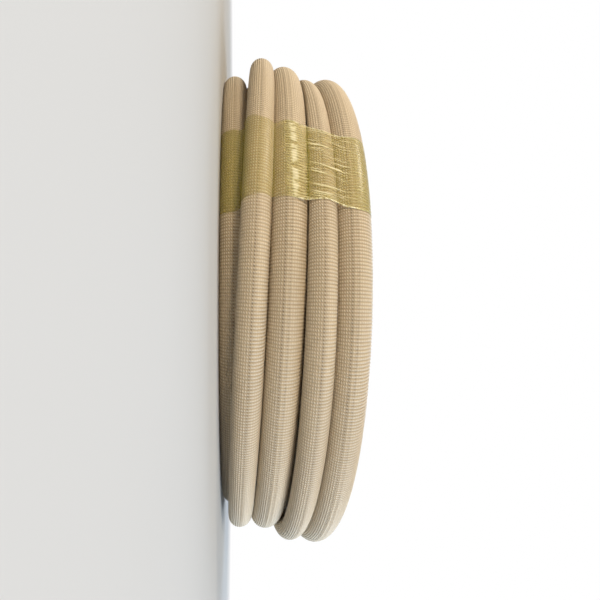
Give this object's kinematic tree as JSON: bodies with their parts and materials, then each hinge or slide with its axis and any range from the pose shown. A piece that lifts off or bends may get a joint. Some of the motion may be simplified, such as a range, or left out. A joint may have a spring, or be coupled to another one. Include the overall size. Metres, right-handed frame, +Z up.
{
  "type": "copper tube coil",
  "caption": "Flat-lying coil of twin copper tube, a thin and a thick tube side by side in embossed cream foam sleeves, wound in stacked turns and held by clear tape.",
  "frame": {"origin": "middle of the whole coil's bounding box in plan, at the floor it lies on", "axes": "+Z is up, along the coil's own axis; the front of the picture looks along +Y, and the front tape band is at -Y"},
  "size_m": [0.8366, 0.8324, 0.19],
  "materials": {
    "foam_sleeve": "cream polyethylene foam under a thin embossed film, a lattice of small ridges along and around the tube",
    "tape": "clear packing tape, a little yellow, wound in several layers with fine wrinkles",
    "copper": "plain drawn copper, bright",
    "cap": "plain moulded push-on cap"
  },
  "bodies": {
    "root": {"insulated_tube_coil": "foam_sleeve", "front_tape_band": "tape", "back_tape_band": "tape", "small_copper_outer_end": "copper", "large_copper_outer_end": "copper", "small_copper_inner_end": "copper", "large_copper_inner_end": "copper", "small_cap_outer": "cap", "large_cap_outer": "cap", "small_cap_inner": "cap", "large_cap_inner": "cap"}
  },
  "joints": []
}
